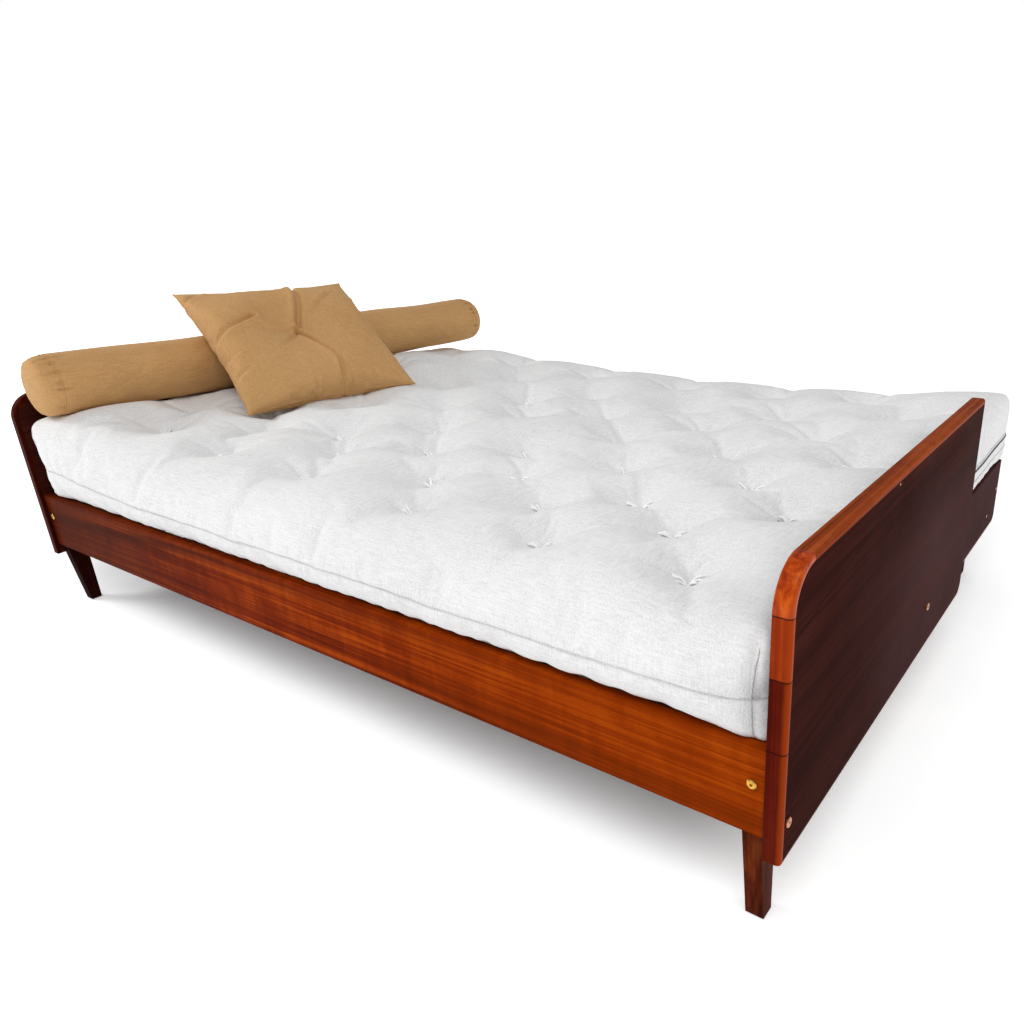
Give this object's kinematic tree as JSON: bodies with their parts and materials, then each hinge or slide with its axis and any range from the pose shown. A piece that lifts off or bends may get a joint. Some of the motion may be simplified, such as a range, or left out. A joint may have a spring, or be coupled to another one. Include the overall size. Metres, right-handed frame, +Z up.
{
  "type": "daybed",
  "caption": "Wooden daybed with lipped end boards, a rear frame that slides out on interleaved slats, a tufted mattress, a bolster and a square pillow.",
  "frame": {"origin": "on the floor, below the middle of the whole bed's box with the rear frame out", "axes": "+X to the foot end along the bed, -Y to the front rail, +Z up"},
  "size_m": [1.985, 1.464, 0.7286],
  "materials": {
    "board": "satin dark brown lacquer over veneer",
    "lipping": "gloss lacquer",
    "rail": "satin lacquer",
    "leg": "satin lacquer",
    "bearer": "planed, unfinished",
    "slat": "planed, unfinished",
    "brass": "polished",
    "glide": "matte",
    "mattress_cover": "woven, matte",
    "cushion_cover": "woven, matte"
  },
  "bodies": {
    "main_frame": {"foot_board": "board", "foot_lip_lower": "lipping", "foot_lip_middle": "lipping", "foot_lip_upper": "lipping", "foot_lip_corner": "lipping", "foot_lip_top": "lipping", "head_board": "board", "head_lip_lower": "lipping", "head_lip_middle": "lipping", "head_lip_upper": "lipping", "head_lip_corner": "lipping", "head_lip_top": "lipping", "front_rail": "rail", "front_ledger": "bearer", "cross_bearer": "bearer", "front_leg_foot": "leg", "front_leg_head": "leg", "middle_leg_foot": "leg", "middle_leg_head": "leg", "main_slat_1": "slat", "main_slat_2": "slat", "main_slat_3": "slat", "main_slat_4": "slat", "main_slat_5": "slat", "main_slat_6": "slat", "main_slat_7": "slat", "main_slat_8": "slat", "main_slat_9": "slat", "main_slat_10": "slat", "board_bolts": "brass", "rail_bolts": "brass", "lip_pins": "brass", "main_slat_screws": "brass", "main_glides": "glide", "mattress": "mattress_cover", "bolster": "cushion_cover", "pillow": "cushion_cover"},
    "rear_frame": {"extension_side_foot": "board", "extension_side_head": "board", "extension_rear_rail": "rail", "extension_ledger": "bearer", "extension_bearer": "bearer", "extension_slat_1": "slat", "extension_slat_2": "slat", "extension_slat_3": "slat", "extension_slat_4": "slat", "extension_slat_5": "slat", "extension_slat_6": "slat", "extension_slat_7": "slat", "extension_slat_8": "slat", "extension_slat_9": "slat", "extension_slat_10": "slat", "leg_block_foot": "bearer", "leg_block_head": "bearer", "rear_leg_foot": "leg", "rear_leg_head": "leg", "extension_screws": "brass", "extension_slat_screws": "brass", "extension_glides": "glide"}
  },
  "joints": [
    {"name": "rear_frame_slide", "type": "slide", "parent": "main_frame", "child": "rear_frame", "axis": [0, 1, 0], "range_m": [-0.412, 0]}
  ]
}
